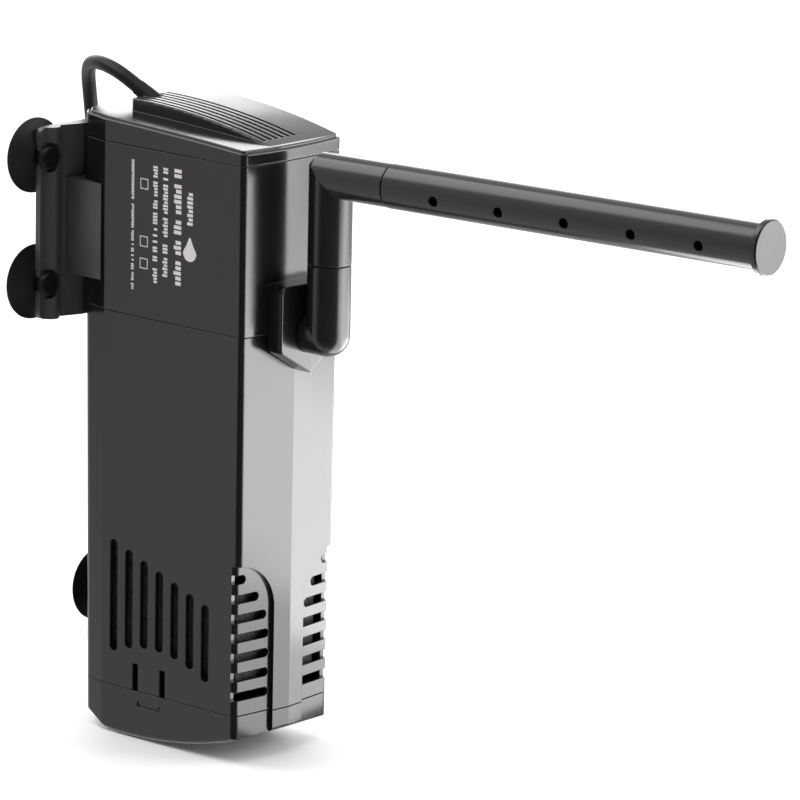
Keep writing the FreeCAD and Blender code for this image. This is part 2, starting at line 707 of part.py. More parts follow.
def make_canister(wall):
    slots = [corner_slot(side, count) for side in (-1, 1) for count in range(CORNER_SLOTS)]
    slots += [side_slot(count) for count in range(SIDE_SLOTS)]
    slots += [latch_window(side) for side in (-1, 1)]
    notch_r = DUCT_R + NOTCH_GAP
    notch = box(-notch_r, notch_r, FRONT_Y - 5, FRONT_Y + 9, OUTLET_Z, PUMP_SEAM_Z + 2)
    notch = notch.fuse(rod(notch_r, 14.0, V(0, FRONT_Y - 5, OUTLET_Z), Y_AXIS))
    cup_hole = rod(CUP_NECK_R + CUP_HOLE_FIT, 12.0, V(0, BACK_Y - 8.0, CANISTER_CUP_Z), Y_AXIS)
    body = wall.cut(slots[0].multiFuse(slots[1:] + [notch, cup_hole]))
    return body.removeSplitter()


def make_tongue(wall, side):
    """A springy latch tongue, cut free from the side wall by the two slits."""
    y0 = LATCH_SLIT_Y[0] + LATCH_SLIT_W / 2
    y1 = LATCH_SLIT_Y[1] - LATCH_SLIT_W / 2
    x0, x1 = sorted((side * (HALF_WIDTH - LATCH_REACH), side * (HALF_WIDTH + 4)))
    return wall.common(box(x0, x1, y0, y1, CAP_SEAM_Z, LATCH_TOP_Z - TONGUE_GAP))


def cap_floor(lift, z_top):
    """The solid above the bottom cap's curved underside, which is raised by lift."""
    reach = HALF_WIDTH + 5
    centre_z = CAP_ARC_R + lift
    span = CAP_ARC_SPAN
    rise = centre_z - math.sqrt(CAP_ARC_R ** 2 - span ** 2)
    low = V(-reach, CAP_ARC_Y - span, rise)
    mid = V(-reach, CAP_ARC_Y, lift)
    high = V(-reach, CAP_ARC_Y + span, rise)
    top_high = V(-reach, CAP_ARC_Y + span, z_top)
    top_low = V(-reach, CAP_ARC_Y - span, z_top)
    edges = [Part.Arc(low, mid, high).toShape()]
    for start, end in ((high, top_high), (top_high, top_low), (top_low, low)):
        edges.append(Part.LineSegment(start, end).toShape())
    return Part.Face(Part.Wire(edges)).extrude(V(2 * reach, 0, 0))


def below_heel(lift):
    """The wedge under the cap's rising rear end, with its slope raised by lift."""
    reach = HALF_WIDTH + 5
    (toe_y, toe_z), (heel_y, heel_z) = CAP_HEEL
    wedge = [(toe_y, toe_z + lift), (heel_y, heel_z + lift), (heel_y, -5.0), (toe_y, -5.0)]
    return prism_yz(wedge, -reach, reach)


def latch_mark(side):
    """The shallow U-shaped groove under the catch on the cap's side."""
    x0, x1 = sorted((side * (HALF_WIDTH - SIDE_DRAFT - MARK_DEPTH), side * (HALF_WIDTH + 1.0)))
    outer = box(x0, x1, MARK_Y[0], MARK_Y[1], MARK_Z[0], MARK_Z[1])
    inner = box(x0, x1, MARK_Y[0] + MARK_LINE, MARK_Y[1] - MARK_LINE, MARK_Z[0] + MARK_LINE, MARK_Z[1])
    return outer.cut(inner)


def soften_underside(block):
    """Round the edge between the cap's walls and its curved underside."""
    chosen = [edge for edge in block.Edges if edge.BoundBox.ZMax < CAP_SEAM_Z - 5.0]
    return block.makeFillet(CAP_EDGE_R, chosen)


def make_bottom_cap():
    top = CAP_SEAM_Z - HALF_SEAM
    block = housing_block(CAP_BLOCK_Z, top, front="ridge")
    skin = front_skin(block)
    block = block.common(cap_floor(0.0, top + 1))
    block = soften_underside(block).cut(below_heel(0.0))
    front_gap = WALL + GRILLE_DEPTH
    hollow = housing_block(CAP_BLOCK_Z, top + 1, WALL, front_gap, "ridge", False)
    hollow = hollow.common(cap_floor(CAP_FLOOR_T, top + 3)).cut(below_heel(CAP_FLOOR_T))
    cap = block.cut(hollow)
    rim_gap = WALL + SLIDE_GAP
    foot = housing_block(top - RIM_FOOT_H, top - RIM_SINK, WALL - RIM_SINK, front_gap - RIM_SINK, "ridge")
    rim = housing_block(top - RIM_FOOT_H, top + RIM_RISE, rim_gap, front_gap + SLIDE_GAP, "ridge")
    inside_gap = rim_gap + RIM_T
    inside_front = front_gap + SLIDE_GAP + RIM_T
    inside = housing_block(top - RIM_FOOT_H - 1, top + RIM_RISE + 1, inside_gap, inside_front, "ridge", False)
    cap = join([cap, join([foot, rim]).cut(inside)])
    for side in (-1, 1):
        cap = cap.cut(skin.common(grille_region(side)))
        cap = cap.cut(latch_mark(side))
    y0 = LATCH_SLIT_Y[0] - RIM_CLEAR
    y1 = LATCH_SLIT_Y[1] + RIM_CLEAR
    clear = box(-HALF_WIDTH, HALF_WIDTH, y0, y1, top, top + RIM_RISE + 3)
    return cap.cut(clear)


def make_sponge():
    """The filter sponge, with a shallow pocket in its back for the knob of the canister's cup."""
    gap = WALL + SPONGE_GAP
    block = housing_block(SPONGE_Z[0], SPONGE_Z[1], gap, gap + GRILLE_DEPTH, "ridge")
    half = CUP_KNOB_R + POCKET_GAP
    back_y = CANISTER_CUP_SEAT_Y - POCKET_DEPTH
    pocket = box(-half, half, back_y, 0, CANISTER_CUP_Z - half, CANISTER_CUP_Z + half)
    return block.cut(pocket)


def make_retainer():
    """The slotted plate above the sponge."""
    z0, z1 = RETAINER_Z
    gap = WALL + RETAINER_FIT
    plate = housing_block(z0, z1, gap, gap + GRILLE_DEPTH, "ridge")
    for count in range(RETAINER_SLOTS):
        y = FRONT_Y + RETAINER_FIRST_SLOT + count * RETAINER_SLOT_PITCH
        for side in (-1, 1):
            x0, x1 = sorted((side * RETAINER_SLOT_X[0], side * RETAINER_SLOT_X[1]))
            plate = plate.cut(box(x0, x1, y, y + RETAINER_SLOT_W, z0 - 1, z1 + 1))
    return plate


# ---- outlet elbows, spray bar and its end cap -----------------------------------------------
def corner_piece(radius, centre, down_dir, out_dir, tight):
    """The tight outer corner where two equal round pipes meet at a right angle."""
    first = rod(radius, 2 * radius, centre, down_dir * -1)
    second = rod(radius, 2 * radius, centre, out_dir * -1)
    return first.common(second).common(Part.makeSphere(radius * tight, centre))


def bent_pipe(radius, centre, first_dir, first_length, second_dir, second_length):
    """Two straight pipes that leave a shared round corner."""
    first = rod(radius, first_length, centre, first_dir)
    second = rod(radius, second_length, centre, second_dir)
    return join([first, second, Part.makeSphere(radius, centre)])


def make_lower_elbow():
    centre = V(0, PIPE_Y, OUTLET_Z)
    back = V(0, 1, 0)
    to_boss = BOSS_FACE_Y - PIPE_Y - ELBOW_GAP
    up_length = ELBOW_SEAM_Z - HALF_SEAM - OUTLET_Z
    body = bent_pipe(ELBOW_R, centre, back, to_boss, Z_AXIS, up_length)
    stub = rod(SOCKET_R - FIT, to_boss + SOCKET_DEPTH - 1.0, centre, back)
    ring_centre = centre + back * (to_boss + RING_INSET)
    ring_groove = Part.makeTorus(SOCKET_R - FIT, RING_GROOVE_R, ring_centre, back)
    spigot = rod(SPIGOT_R - FIT, up_length + SPIGOT_LENGTH, centre)
    body = join([body, stub.cut(ring_groove), spigot])
    for axis, length in ((back, to_boss + SOCKET_DEPTH + 1), (Z_AXIS, up_length + SPIGOT_LENGTH + 1)):
        body = body.cut(rod(ELBOW_BORE_R, length, centre, axis))
    return body.cut(Part.makeSphere(ELBOW_BORE_R, centre))


def make_oring():
    """The rubber ring in the lower elbow's groove, squeezed just short of its socket."""
    to_boss = BOSS_FACE_Y - PIPE_Y - ELBOW_GAP
    ring = Part.makeTorus(SOCKET_R - FIT, RING_R, V(0, PIPE_Y + to_boss + RING_INSET, OUTLET_Z), Y_AXIS)
    start = V(0, PIPE_Y + to_boss + RING_INSET - 4.0, OUTLET_Z)
    return ring.common(rod(SOCKET_R - RING_SQUEEZE, 8.0, start, Y_AXIS))


def make_upper_elbow():
    down = V(0, 0, -1)
    down_length = BAR_Z - ELBOW_SEAM_Z - (ELBOW_SEAM_GAP - HALF_SEAM)
    body = bent_pipe(ELBOW_R, BAR_CENTRE, down, down_length, BAR_DIR, BAR_START - BAR_GAP)
    corner = corner_piece(ELBOW_R, BAR_CENTRE, down, BAR_DIR, ELBOW_CORNER)
    spigot = rod(BAR_BORE_R - FIT, BAR_START + BAR_SPIGOT, BAR_CENTRE, BAR_DIR)
    body = join([body, corner, spigot])
    body = body.cut(rod(ELBOW_BORE_R, down_length, BAR_CENTRE, down))
    body = body.cut(rod(SPIGOT_R, SPIGOT_LENGTH + 1.0, V(0, PIPE_Y, ELBOW_SEAM_Z), Z_AXIS))
    body = body.cut(rod(ELBOW_BORE_R, BAR_START + BAR_SPIGOT + 2.0, BAR_CENTRE, BAR_DIR))
    return body.cut(Part.makeSphere(ELBOW_BORE_R, BAR_CENTRE))


def bar_side_dir():
    """The direction that the spray holes face: to the left side and a little down."""
    drop = math.radians(BAR_HOLE_DROP)
    level = V(BAR_DIR.y, -BAR_DIR.x, 0)
    return level * math.cos(drop) + V(0, 0, -math.sin(drop))


def make_spray_bar():
    length = BAR_END - BAR_START
    bar = pipe(BAR_R, BAR_BORE_R, length, BAR_CENTRE + BAR_DIR * BAR_START, BAR_DIR)
    for count in range(BAR_HOLES):
        along = BAR_HOLE_FIRST + BAR_HOLE_PITCH * count
        bar = bar.cut(rod(BAR_HOLE_R, BAR_R + 4, BAR_CENTRE + BAR_DIR * along, bar_side_dir()))
    return bar


def make_end_cap():
    face = BAR_CENTRE + BAR_DIR * (BAR_END + END_CAP_GAP)
    flange = rod(END_CAP_R, END_CAP_T, face, BAR_DIR)
    flange = flange.makeChamfer(END_CAP_EDGE, [e for e in flange.Edges if e.Closed])
    plug_r = BAR_BORE_R - FIT
    start = face - BAR_DIR * (END_PLUG_LENGTH - END_PLUG_SINK)
    plug = pipe(plug_r, plug_r - END_PLUG_T, END_PLUG_LENGTH, start, BAR_DIR)
    return join([flange, plug])


# ---- bracket and suction cups ----------------------------------------------------------------
def make_bracket():
    front_edge = PLATE_BACK_Y - PLATE_T
    half_plan = [(PLATE_HALF_W, PLATE_BACK_Y), (PLATE_HALF_W, front_edge)]
    half_plan += [(x, front_edge - swell) for x, swell in PLATE_SWELL]
    plan = [(-x, y) for x, y in half_plan] + half_plan[::-1]
    plate = prism_xy(plan, PLATE_BOTTOM_Z, PLATE_TOP_Z)
    plate = plate.common(plate_face())
    shapes = [plate]
    for side in (-1, 1):
        x0, x1 = sorted((side * (HALF_WIDTH + ARM_PROUD), side * ARM_INNER_X))
        shapes.append(box(x0, x1, ARM_FRONT_Y, front_edge + 0.5, ARM_BOTTOM_Z, ARM_TOP_Z))
        rib_foot = V(side * RIB_X, front_edge + RIB_SINK, PLATE_BOTTOM_Z)
        rib = rod(RIB_R, PLATE_TOP_Z - PLATE_BOTTOM_Z, rib_foot)
        reach = PLATE_HALF_W + RIB_R
        shapes.append(rib.common(box(-reach, reach, front_edge - RIB_R, front_edge + 1, 0, PLATE_TOP_Z)))
    bracket = join(shapes)
    bracket = bracket.cut(body_clearance())
    for side in (-1, 1):
        for z in CUP_Z:
            bracket = bracket.cut(cup_seat(side, z))
    return bracket.cut(rail_slot())


def plate_face():
    """The plate's outline seen from the front, with rounded corners."""
    face = box(-PLATE_HALF_W, PLATE_HALF_W, -30, 0, PLATE_BOTTOM_Z, PLATE_TOP_Z)
    return face.makeFillet(PLATE_CORNER_R, [edge for edge in face.Edges if edge.BoundBox.YLength > 20])


def body_clearance():
    """The housing's plan shape with a little room round it, for the bracket to slide along."""
    return housing_block(PLATE_BOTTOM_Z - 5, PLATE_TOP_Z + 12, -SLIDE_GAP)


def rail_slot():
    """The T-shaped slot that takes the housing's rail, open at the top and stopped below."""
    z0, z1 = RAIL_Z[0] - RAIL_STOP_GAP, PLATE_TOP_Z + 1
    gap = RAIL_SLOT_GAP
    stem = box(-RAIL_STEM_W - gap, RAIL_STEM_W + gap, BACK_Y - 3, RAIL_HEAD_Y + 1, z0, z1)
    head = box(-RAIL_HEAD_W - gap, RAIL_HEAD_W + gap, RAIL_HEAD_Y - gap, RAIL_BACK_Y + gap, z0, z1)
    return stem.fuse(head)


def cup_seat(side, z):
    """A notch from the plate's side edge for a cup's neck, and the window round its knob."""
    x0, x1 = sorted((side * CUP_X, side * (PLATE_HALF_W + 5)))
    neck_gap = CUP_NECK_R + NECK_FIT
    notch = box(x0, x1, -30, 5, z - neck_gap, z + neck_gap)
    hole = rod(neck_gap, 35.0, V(side * CUP_X, -30, z), Y_AXIS)
    window_foot = V(side * CUP_X, PLATE_BACK_Y - PLATE_T - 20.0, z)
    window = rod(CUP_KNOB_R + WINDOW_GAP, 20.0, window_foot, Y_AXIS)
    return notch.multiFuse([hole, window])


def make_cup(x, z, seat_y, knob_length):
    """A suction cup: a thin flared dish on the glass, a neck and a knob behind the wall it holds."""
    dish = Part.Face(Part.makePolygon([V(r, y, 0) for r, y in CUP_DISH]))
    dish = dish.revolve(V(0, 0, 0), Y_AXIS, 360)
    neck = rod(CUP_NECK_R, -seat_y, V(0, seat_y, 0), Y_AXIS)
    neck = neck.common(box(-NECK_FLAT, NECK_FLAT, seat_y - 1, -4, -NECK_FLAT, NECK_FLAT))
    knob = rod(CUP_KNOB_R, knob_length, V(0, seat_y - knob_length, 0), Y_AXIS)
    far_rim = [e for e in knob.Edges if e.Closed and e.BoundBox.YMax < seat_y - 1]
    knob = knob.makeFillet(KNOB_EDGE_R, far_rim)
    cup = join([dish, neck, knob])
    cup.translate(V(x, 0, z))
    return cup


# ---- mains lead ---------------------------------------------------------------------------------
def tube_along(points, radius):
    """A round tube on straight runs with a tangent arc at every corner between them."""
    corners = [V(*point) for point in points]
    runs = [(b - a).Length for a, b in zip(corners, corners[1:])]
    edges = []
    radii = []
    start = corners[0]
    for index in range(1, len(corners) - 1):
        before = (corners[index] - corners[index - 1]).normalize()
        after = (corners[index + 1] - corners[index]).normalize()
        half_turn = before.getAngle(after) / 2
        setback = BEND_SETBACK * min(runs[index - 1], runs[index])
        radii.append(setback / math.tan(half_turn))
        arc_start = corners[index] - before * setback
        arc_end = corners[index] + after * setback
        inward = (after - before).normalize()
        centre_gap = radii[-1] / math.cos(half_turn)
        arc_mid = corners[index] + inward * (centre_gap - radii[-1])
        edges.append(Part.LineSegment(start, arc_start).toShape())
        edges.append(Part.Arc(arc_start, arc_mid, arc_end).toShape())
        start = arc_end
    edges.append(Part.LineSegment(start, corners[-1]).toShape())
    path = Part.Wire(edges)
    first_dir = (corners[1] - corners[0]).normalize()
    section = Part.Wire(Part.makeCircle(radius, corners[0], first_dir))
    tube = path.makePipeShell([section], True, False)
    expected = math.pi * radius ** 2 * path.Length
    print("cable radii", [round(value, 1) for value in radii])
    print("cable length", round(path.Length, 1), "volume ratio", round(tube.Volume / expected, 4))
    return tube


def make_gland():
    base = CABLE_EXIT - CABLE_DIR * GLAND_INSIDE
    return Part.makeCone(GLAND_BASE_R, GLAND_TIP_R, GLAND_LENGTH, base, CABLE_DIR)


def make_coil_of_cable():
    """The outer shape of the put-away coil: a flat ring, three cables wide and two layers high."""
    height = 2 * CABLE_R + COIL_LAYER_RISE
    base = COIL_CENTRE + V(0, 0, COIL_FOOT_Z)
    return pipe(COIL_OUTER_R + CABLE_R, COIL_INNER_R - CABLE_R, height, base)


def make_cable_tie():
    """A flat strap closed round the coil's bundle, with its small lock."""
    x0 = COIL_CENTRE.x + COIL_INNER_R - CABLE_R
    x1 = COIL_CENTRE.x + COIL_OUTER_R + CABLE_R
    z0 = COIL_FOOT_Z
    z1 = COIL_FOOT_Z + 2 * CABLE_R + COIL_LAYER_RISE
    y = COIL_CENTRE.y
    strap = box(x0 - TIE_T, x1 + TIE_T, y - TIE_W / 2, y + TIE_W / 2, z0 - TIE_T, z1 + TIE_T)
    strap = strap.cut(make_coil_of_cable())
    half = TIE_LOCK_W / 2
    lock_x0, lock_x1 = x0 + TIE_LOCK_X[0], x0 + TIE_LOCK_X[1]
    lock = box(lock_x0, lock_x1, y - half, y + half, z1 + TIE_LOCK_Z[0], z1 + TIE_LOCK_Z[1])
    return join([strap, lock])


def make_plug():
    """A flat two-pin plug with a tapered cable sleeve, lying on its broad side."""
    rear, front = PLUG_REAR.x, PLUG_REAR.x - PLUG_LENGTH
    half_w, half_t = PLUG_W / 2, PLUG_T / 2
    y = PLUG_REAR.y
    broad_x, narrow_x = front + PLUG_BROAD, rear - PLUG_NECK
    plan = [(front, y - half_w), (front, y + half_w), (broad_x, y + half_w), (narrow_x, y + PLUG_NECK_HALF_W)]
    plan += [(narrow_x, y - PLUG_NECK_HALF_W), (broad_x, y - half_w)]
    body = prism_xy(plan, PLUG_REAR.z - half_t, PLUG_REAR.z + half_t)
    body = body.makeFillet(PLUG_EDGE_R, body.Edges)
    sleeve = Part.makeCone(SLEEVE_R[0], SLEEVE_R[1], SLEEVE_LENGTH, PLUG_REAR, X_AXIS * -1)
    return join([body, sleeve])


def make_plug_pins():
    front = PLUG_REAR.x - PLUG_LENGTH
    pins = []
    for side in (-1, 1):
        base = V(front, PLUG_REAR.y + side * PIN_HALF_PITCH, PLUG_REAR.z)
        pin = rod(PIN_R, PIN_LENGTH, base, X_AXIS * -1)
        tip = [e for e in pin.Edges if e.Closed and e.BoundBox.XMax < front - 1]
        pins.append(pin.makeFillet(PIN_TIP_R, tip))
    return Part.makeCompound(pins)


def write_all():
    os.makedirs("parts", exist_ok=True)
    wall = canister_wall()
    core = make_stator_core()
    coils = [make_coil(side) for side in (-1, 1)]
    save("lid", make_lid())
    save("pump_housing", make_pump_housing())
    save("stator_core", core)
    save("stator_coils", Part.makeCompound(coils))
    save("motor_potting", make_potting(core, coils))
    save("rotor_magnet", make_rotor_magnet())
    save("impeller", make_impeller())
    save("rotor_shaft", rod(SHAFT_R, SHAFT_Z[1] - SHAFT_Z[0], V(0, ROTOR_Y, SHAFT_Z[0])))
    bush_z, bush_height, bush_r = UPPER_BUSH
    save("upper_bush", pipe(bush_r, SHAFT_R, bush_height, V(0, ROTOR_Y, bush_z)))
    save("lower_bush", pipe(BUSH_R, SHAFT_R + SHAFT_FIT, COVER_T, V(0, ROTOR_Y, SPIGOT_Z - COVER_DROP)))
    save("inlet_cover", make_inlet_cover())
    save("filter_canister", make_canister(wall))
    for side, name in ((-1, "left"), (1, "right")):
        save("latch_tongue_" + name, make_tongue(wall, side))
    save("bottom_cap", make_bottom_cap())
    save("filter_sponge", make_sponge())
    save("sponge_retainer", make_retainer())
    save("lower_elbow", make_lower_elbow())
    save("outlet_oring", make_oring())
    save("upper_elbow", make_upper_elbow())
    save("spray_bar", make_spray_bar())
    save("spray_bar_end_cap", make_end_cap())
    save("suction_bracket", make_bracket())
    seat = PLATE_BACK_Y - PLATE_T - CUP_SEAT_GAP
    for side, across in ((-1, "left"), (1, "right")):
        for z, level in zip(CUP_Z, ("lower", "upper")):
            save("suction_cup_" + level + "_" + across, make_cup(side * CUP_X, z, seat, CUP_KNOB_LENGTH))
    save("suction_cup_canister", make_cup(0.0, CANISTER_CUP_Z, CANISTER_CUP_SEAT_Y, CANISTER_KNOB_LENGTH))
    save("cable_gland", make_gland())
    save("mains_cable", tube_along(ROUTE, CABLE_R))
    save("mains_cable_end", tube_along(END_ROUTE, CABLE_R))
    save("cable_coil", make_coil_of_cable())
    save("cable_tie", make_cable_tie())
    save("mains_plug", make_plug())
    save("plug_pins", make_plug_pins())


write_all()
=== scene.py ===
import bmesh
import bpy
import math
import random
from mathutils import Matrix, Vector


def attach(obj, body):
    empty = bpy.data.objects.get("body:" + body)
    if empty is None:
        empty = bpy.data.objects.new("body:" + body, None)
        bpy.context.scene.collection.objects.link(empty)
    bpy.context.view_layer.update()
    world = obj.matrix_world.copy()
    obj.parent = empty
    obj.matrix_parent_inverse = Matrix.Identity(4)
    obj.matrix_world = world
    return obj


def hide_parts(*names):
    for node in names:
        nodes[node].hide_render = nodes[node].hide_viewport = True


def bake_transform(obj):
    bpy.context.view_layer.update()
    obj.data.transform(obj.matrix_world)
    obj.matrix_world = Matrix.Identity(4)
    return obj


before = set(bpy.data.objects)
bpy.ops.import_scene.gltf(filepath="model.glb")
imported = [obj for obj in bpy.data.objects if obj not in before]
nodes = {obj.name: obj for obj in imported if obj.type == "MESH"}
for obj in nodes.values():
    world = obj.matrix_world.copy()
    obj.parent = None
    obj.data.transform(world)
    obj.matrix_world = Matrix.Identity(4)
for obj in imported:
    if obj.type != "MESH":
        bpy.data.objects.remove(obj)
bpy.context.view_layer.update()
scene = bpy.context.scene

# ---- camera ---------------------------------------------------------------------------------
CAM_AZIMUTH = math.radians(-48.74)
CAM_ELEVATION = math.radians(13.21)
CAM_ROLL = math.radians(1.22)
CAM_DISTANCE = 2.682
CAM_OFFSET = (0.08804, -0.11545)
CAM_ORIGIN = Vector((0.0, -0.062, 0.272))
CAM_LENS = 270.93
CAM_SENSOR = 36.0
CAM_CLIP = (0.05, 30.0)


def make_camera():
    back = Vector((
        math.sin(CAM_AZIMUTH) * math.cos(CAM_ELEVATION),
        -math.cos(CAM_AZIMUTH) * math.cos(CAM_ELEVATION),
        math.sin(CAM_ELEVATION),
    ))
    level = Vector((math.cos(CAM_AZIMUTH), math.sin(CAM_AZIMUTH), 0.0))
    upright = back.cross(level)
    right = level * math.cos(CAM_ROLL) + upright * math.sin(CAM_ROLL)
    up = back.cross(right)
    data = bpy.data.cameras.new("camera")
    data.lens = CAM_LENS
    data.sensor_width = CAM_SENSOR
    data.clip_start, data.clip_end = CAM_CLIP
    camera = bpy.data.objects.new("camera", data)
    scene.collection.objects.link(camera)
    place = CAM_ORIGIN + right * CAM_OFFSET[0] + up * CAM_OFFSET[1] + back * CAM_DISTANCE
    turn = Matrix((right, up, back)).transposed().to_4x4()
    camera.matrix_world = Matrix.Translation(place) @ turn
    scene.camera = camera


make_camera()

# ---- mains lead -------------------------------------------------------------------------------
CABLE_D = 0.0066
LAY_Z = 0.0043
ROUTE = [
    (0.0, -0.0223, 0.2909),
    (0.0, -0.0148, 0.2944),
    (0.0013, -0.006, 0.2969),
    (0.0039, 0.0028, 0.2977),
    (0.0081, 0.0118, 0.297),
    (0.0146, 0.0225, 0.2944),
    (0.0234, 0.0324, 0.288),
    (0.032, 0.0396, 0.2767),
    (0.04, 0.0453, 0.2598),
    (0.0466, 0.0484, 0.2348),
    (0.052, 0.0504, 0.2002),
    (0.0572, 0.0516, 0.158),
    (0.0618, 0.053, 0.115),
    (0.0656, 0.0564, 0.078),
    (0.0676, 0.0607, 0.0448),
    (0.0725, 0.0706, 0.0219),
    (0.0831, 0.0807, 0.0098),
    (0.0971, 0.0886, LAY_Z),
]
COIL_CENTRE = (0.124, 0.05)
COIL_START = math.radians(104.0)
TURN_STEP = math.radians(20.0)
# radius and height of each turn, outermost first, then back out on the second layer
UPPER_Z = LAY_Z + 0.0059
COIL_TURNS = [(0.044, LAY_Z), (0.0372, LAY_Z), (0.0304, LAY_Z), (0.0338, UPPER_Z), (0.0406, UPPER_Z)]
# how far round a turn the cable starts to move over to the next
TURN_KEEPS = 0.8
COIL_SWEEP = math.radians(4 * 360.0 + 194.0)
END_ROUTE = [
    (0.117, 0.0099, 0.0097),
    (0.1115, 0.0104, 0.0092),
    (0.106, 0.0112, 0.0084),
    (0.1005, 0.0121, 0.0076),
    (0.095, 0.0128, 0.00705),
    (0.0895, 0.013, 0.0069),
]


def coil_points():
    """Points of the coil's turns: each keeps its radius and moves to the next over its last part."""
    points = []
    swept = 0.0
    while swept <= COIL_SWEEP + 1e-6:
        turn = min(int(swept / (2 * math.pi) + 1e-6), len(COIL_TURNS) - 1)
        radius, z = COIL_TURNS[turn]
        part = swept / (2 * math.pi) - turn
        if turn + 1 < len(COIL_TURNS) and part > TURN_KEEPS:
            share = (part - TURN_KEEPS) / (1 - TURN_KEEPS)
            share = share * share * (3 - 2 * share)
            radius += (COIL_TURNS[turn + 1][0] - radius) * share
            z += (COIL_TURNS[turn + 1][1] - z) * share
        angle = COIL_START - swept
        # the control polygon of a quadratic spline lies outside the circle by this much
        radius /= 1 - (1 - math.cos(TURN_STEP)) / 4
        x = COIL_CENTRE[0] + radius * math.cos(angle)
        y = COIL_CENTRE[1] + radius * math.sin(angle)
        points.append((x, y, z))
        swept += TURN_STEP
    return points


def nurbs_cord(name, points, diameter):
    data = bpy.data.curves.new(name, "CURVE")
    data.dimensions = "3D"
    # the point radius sets the thickness, because a curve's bounds grow by that radius
    data.bevel_depth = 1.0
    data.bevel_resolution = 6
    data.resolution_u = 8
    data.use_fill_caps = True
    spline = data.splines.new("NURBS")
    spline.points.add(len(points) - 1)
    for point, place in zip(spline.points, points):
        point.co = (*place, 1.0)
        point.radius = diameter / 2
    spline.order_u = 3
    spline.use_endpoint_u = True
    cord = bpy.data.objects.new(name, data)
    scene.collection.objects.link(cord)
    return cord


def make_cable():
    cable = nurbs_cord("mains_lead", ROUTE + coil_points() + END_ROUTE, CABLE_D)
    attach(cable, "filter_head")
    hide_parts("mains_cable", "mains_cable_end", "cable_coil")
    return cable


cable = make_cable()

# ---- materials ----------------------------------------------------------------------------------


def new_material(name):
    material = bpy.data.materials.new(name)
    material.use_nodes = True
    tree = material.node_tree
    shader = tree.nodes["Principled BSDF"]
    return material, tree, shader


def add(tree, kind, **values):
    node = tree.nodes.new(kind)
    for key, value in values.items():
        if key in node.inputs:
            node.inputs[key].default_value = value
        else:
            setattr(node, key, value)
    return node


def noise_value(tree, scale, detail=2.0, stretch=None):
    """A noise texture in object coordinates; returns its factor output."""
    where = tree.nodes.new("ShaderNodeTexCoord")
    source = where.outputs["Object"]
    if stretch:
        mapping = tree.nodes.new("ShaderNodeMapping")
        mapping.inputs["Scale"].default_value = stretch
        tree.links.new(source, mapping.inputs["Vector"])
        source = mapping.outputs["Vector"]
    noise = tree.nodes.new("ShaderNodeTexNoise")
    noise.inputs["Scale"].default_value = scale
    noise.inputs["Detail"].default_value = detail
    tree.links.new(source, noise.inputs["Vector"])
    return noise.outputs["Fac"]


def ranged(tree, value, low, high, start=0.3, end=0.7):
    remap = tree.nodes.new("ShaderNodeMapRange")
    remap.inputs["From Min"].default_value = start
    remap.inputs["From Max"].default_value = end
    remap.inputs["To Min"].default_value = low
    remap.inputs["To Max"].default_value = high
    tree.links.new(value, remap.inputs["Value"])
    return remap.outputs["Result"]


PATCH_SCALE = 38.0
BUMP_HEIGHT = 0.00005
# the cosine between the flat and the rounded normal where an edge counts as fully worn, and not worn
EDGE_COSINES = (0.86, 0.99)
WORN_GAIN = 1.7
WORN_LIFT = 0.012


def moulded(
    name, colour, roughness, grain=0.0, grain_scale=2600.0, edge=0.0004, wear=0.25, specular=0.5
):
    """Moulded plastic: fine mould grain, slow roughness patches, softly rounded and worn edges."""
    material, tree, shader = new_material(name)
    links = tree.links
    patches = noise_value(tree, PATCH_SCALE, 3.0)
    links.new(ranged(tree, patches, roughness[0], roughness[1]), shader.inputs["Roughness"])
    shader.inputs["Specular IOR Level"].default_value = specular
    geometry = tree.nodes.new("ShaderNodeNewGeometry")
    bevel = tree.nodes.new("ShaderNodeBevel")
    bevel.samples = 6
    bevel.inputs["Radius"].default_value = edge
    dot = tree.nodes.new("ShaderNodeVectorMath")
    dot.operation = "DOT_PRODUCT"
    links.new(bevel.outputs["Normal"], dot.inputs[0])
    links.new(geometry.outputs["Normal"], dot.inputs[1])
    rim = ranged(tree, dot.outputs["Value"], wear, 0.0, *EDGE_COSINES)
    mix = tree.nodes.new("ShaderNodeMix")
    mix.data_type = "RGBA"
    mix.inputs["A"].default_value = (*colour, 1)
    worn = [min(1, value * WORN_GAIN + WORN_LIFT) for value in colour]
    mix.inputs["B"].default_value = (*worn, 1)
    links.new(rim, mix.inputs["Factor"])
    links.new(mix.outputs["Result"], shader.inputs["Base Color"])
    fine = noise_value(tree, grain_scale, 1.0)
    bump = tree.nodes.new("ShaderNodeBump")
    bump.inputs["Strength"].default_value = grain
    bump.inputs["Distance"].default_value = BUMP_HEIGHT
    links.new(fine, bump.inputs["Height"])
    links.new(bevel.outputs["Normal"], bump.inputs["Normal"])
    links.new(bump.outputs["Normal"], shader.inputs["Normal"])
    return material


